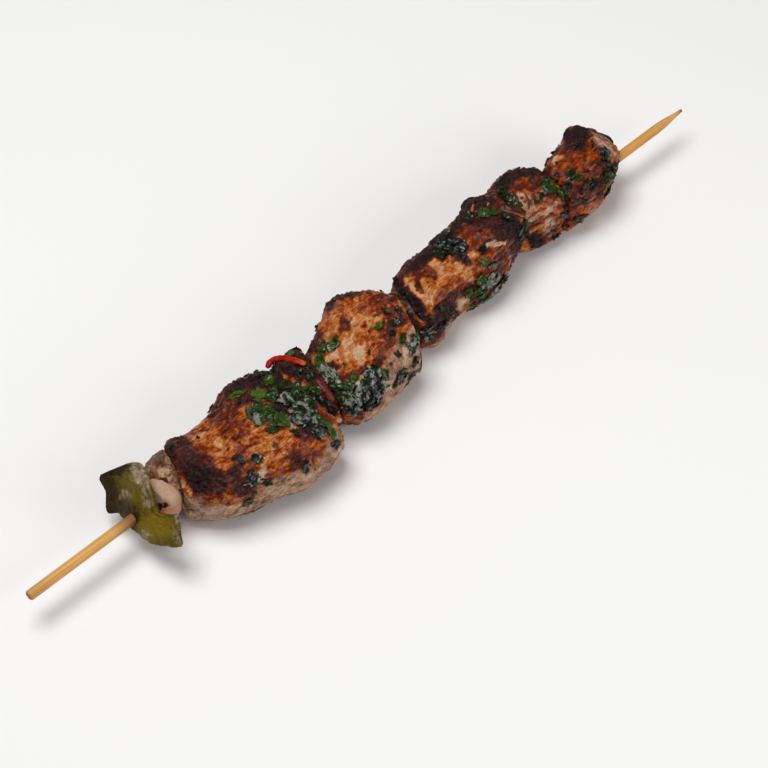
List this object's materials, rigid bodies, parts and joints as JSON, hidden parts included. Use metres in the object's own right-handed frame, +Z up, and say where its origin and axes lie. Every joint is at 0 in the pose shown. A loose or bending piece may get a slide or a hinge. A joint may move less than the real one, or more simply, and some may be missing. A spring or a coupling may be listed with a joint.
{
  "type": "chicken kebab skewer",
  "caption": "Grilled chicken kebab on a bamboo skewer, with charred chunks, green pepper, onion, chilli and chopped herbs; it lies on a table.",
  "frame": {"origin": "on the table under the middle of the box, half way along the stick", "axes": "+X along the stick towards its pointed end, +Z up, +Y to the far side in the picture"},
  "size_m": [0.25, 0.0384, 0.0246],
  "materials": {
    "bamboo": "pale golden split bamboo, smooth, fine grain along the stick",
    "chicken": "grilled chicken, golden brown with dark charred bands and pale sides, moist with oil",
    "charred_chicken": "blackened meat, crumbly and oily",
    "herbs": "wilted chopped parsley, dark green, wet",
    "green_pepper": "blistered olive green pepper skin, glossy",
    "onion": "cooked onion, pale, slightly translucent",
    "browned_onion": "browned onion, glossy",
    "red_chilli": "bright red chilli skin, glossy",
    "red_pepper": "dark cooked red pepper, moist"
  },
  "bodies": {
    "root": {"bamboo_skewer": "bamboo", "green_pepper": "green_pepper", "onion_wedge": "onion", "onion_slice": "onion", "onion_curl": "browned_onion", "onion_sliver": "browned_onion", "chicken_end": "chicken", "chicken_1": "chicken", "chicken_bit": "charred_chicken", "chicken_2": "chicken", "chicken_3": "chicken", "chicken_4": "chicken", "chicken_5": "chicken", "chilli_strip": "red_chilli", "red_pepper_strip": "red_pepper"}
  },
  "joints": []
}
